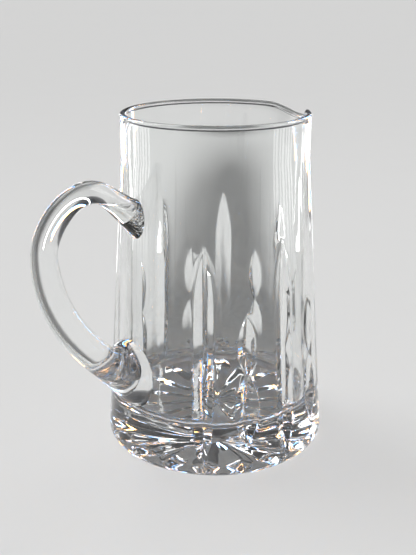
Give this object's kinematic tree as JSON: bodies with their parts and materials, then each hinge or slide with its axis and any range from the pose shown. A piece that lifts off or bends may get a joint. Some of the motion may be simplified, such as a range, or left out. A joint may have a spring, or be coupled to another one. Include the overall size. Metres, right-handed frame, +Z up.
{
  "type": "cut glass pitcher",
  "caption": "Tapered clear glass jug with a pulled pouring lip, tall V cuts, stacked lens cuts, a star-cut base and an applied loop handle.",
  "frame": {"origin": "on the axis of the body, in the plane that the base stands on", "axes": "+Z up along the axis of the body, -X towards the handle, +X opposite it; the pouring lip, pulled by hand, points 9.5 degrees off +X, towards -Y"},
  "size_m": [0.174, 0.1246, 0.185],
  "materials": {
    "body_glass": "clear lead crystal, fire-polished rim, acid-polished cuts",
    "handle_glass": "clear lead crystal, drawn and fire-polished"
  },
  "bodies": {
    "root": {"body": "body_glass", "handle": "handle_glass"}
  },
  "joints": []
}
